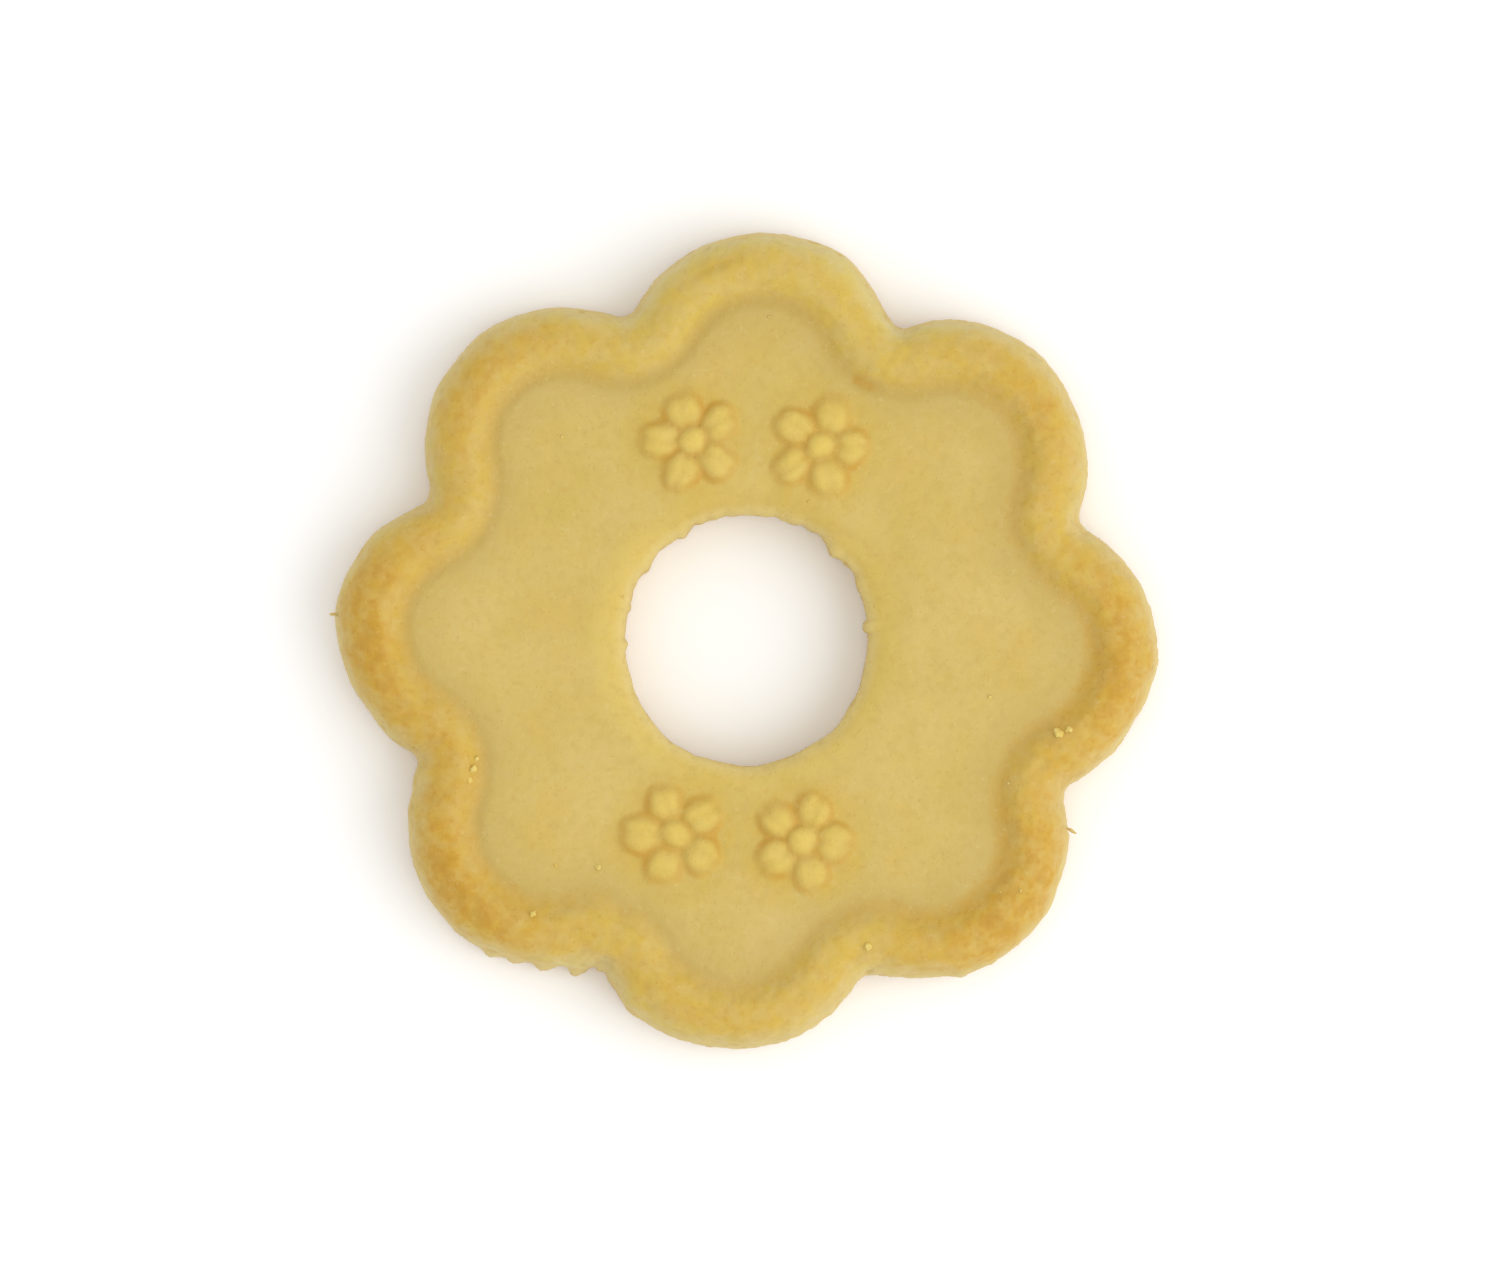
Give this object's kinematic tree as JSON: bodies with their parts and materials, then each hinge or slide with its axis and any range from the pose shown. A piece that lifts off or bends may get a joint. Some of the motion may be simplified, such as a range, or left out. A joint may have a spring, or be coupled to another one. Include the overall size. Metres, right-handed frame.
{
  "type": "butter ring cookie",
  "caption": "Scalloped ring biscuit of golden butter dough with a raised browned rim, a round hole through the middle and small blossoms moulded on its sunken face.",
  "frame": {"origin": "on the flat base, under the middle of the biscuit's box, at the middle of the hole to within 0.2 mm", "axes": "+Z out of the moulded face; +X along one petal; +Y towards the top of the picture, between the upper pair of blossoms"},
  "size_m": [0.06, 0.06, 0.007],
  "materials": {
    "baked_butter_dough": "matt baked butter dough, pale gold on the face and walls and golden brown along the rim"
  },
  "bodies": {
    "root": {"cookie": "baked_butter_dough"}
  },
  "joints": []
}
